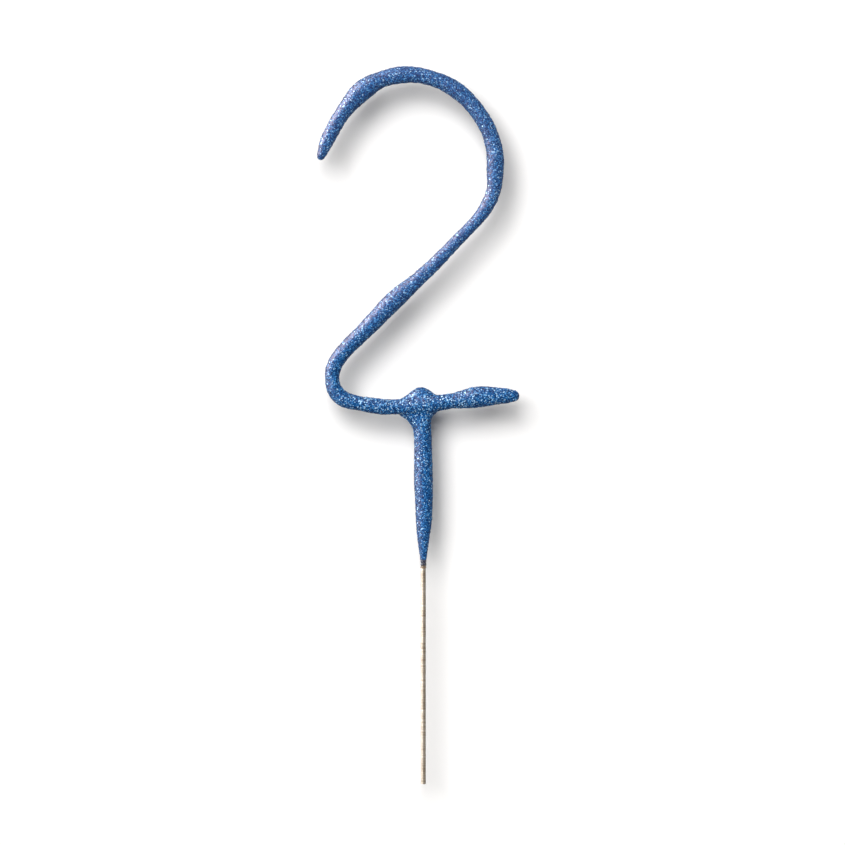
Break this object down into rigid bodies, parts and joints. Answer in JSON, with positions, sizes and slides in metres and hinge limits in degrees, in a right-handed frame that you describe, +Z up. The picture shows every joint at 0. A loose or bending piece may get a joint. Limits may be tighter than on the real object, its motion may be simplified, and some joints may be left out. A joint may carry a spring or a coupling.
{
  "type": "number sparkler candle",
  "caption": "Party cake sparkler: a bent-wire figure two with a lumpy blue glitter coat, on a bare straight wire stem that pushes into the cake.",
  "frame": {"origin": "centre of the stem wire's lower cut face, the end that is pushed into the cake", "axes": "+Z up the stem; the figure lies parallel to the XZ plane and reads correctly when looked at along +Y, with +X to the right"},
  "size_m": [0.0503, 0.0058, 0.1781],
  "materials": {
    "steel_wire": "drawn bare steel with fine rings and a warm tint",
    "sparkler_composition": "dry grey granular dip, dull with fine metal grains",
    "blue_glitter": "grainy blue lacquer full of fine glitter"
  },
  "bodies": {
    "root": {"figure_wire": "steel_wire", "stem_wire": "steel_wire", "composition_first_dip": "sparkler_composition", "composition_second_dip": "sparkler_composition", "glitter_coat": "blue_glitter"}
  },
  "joints": []
}
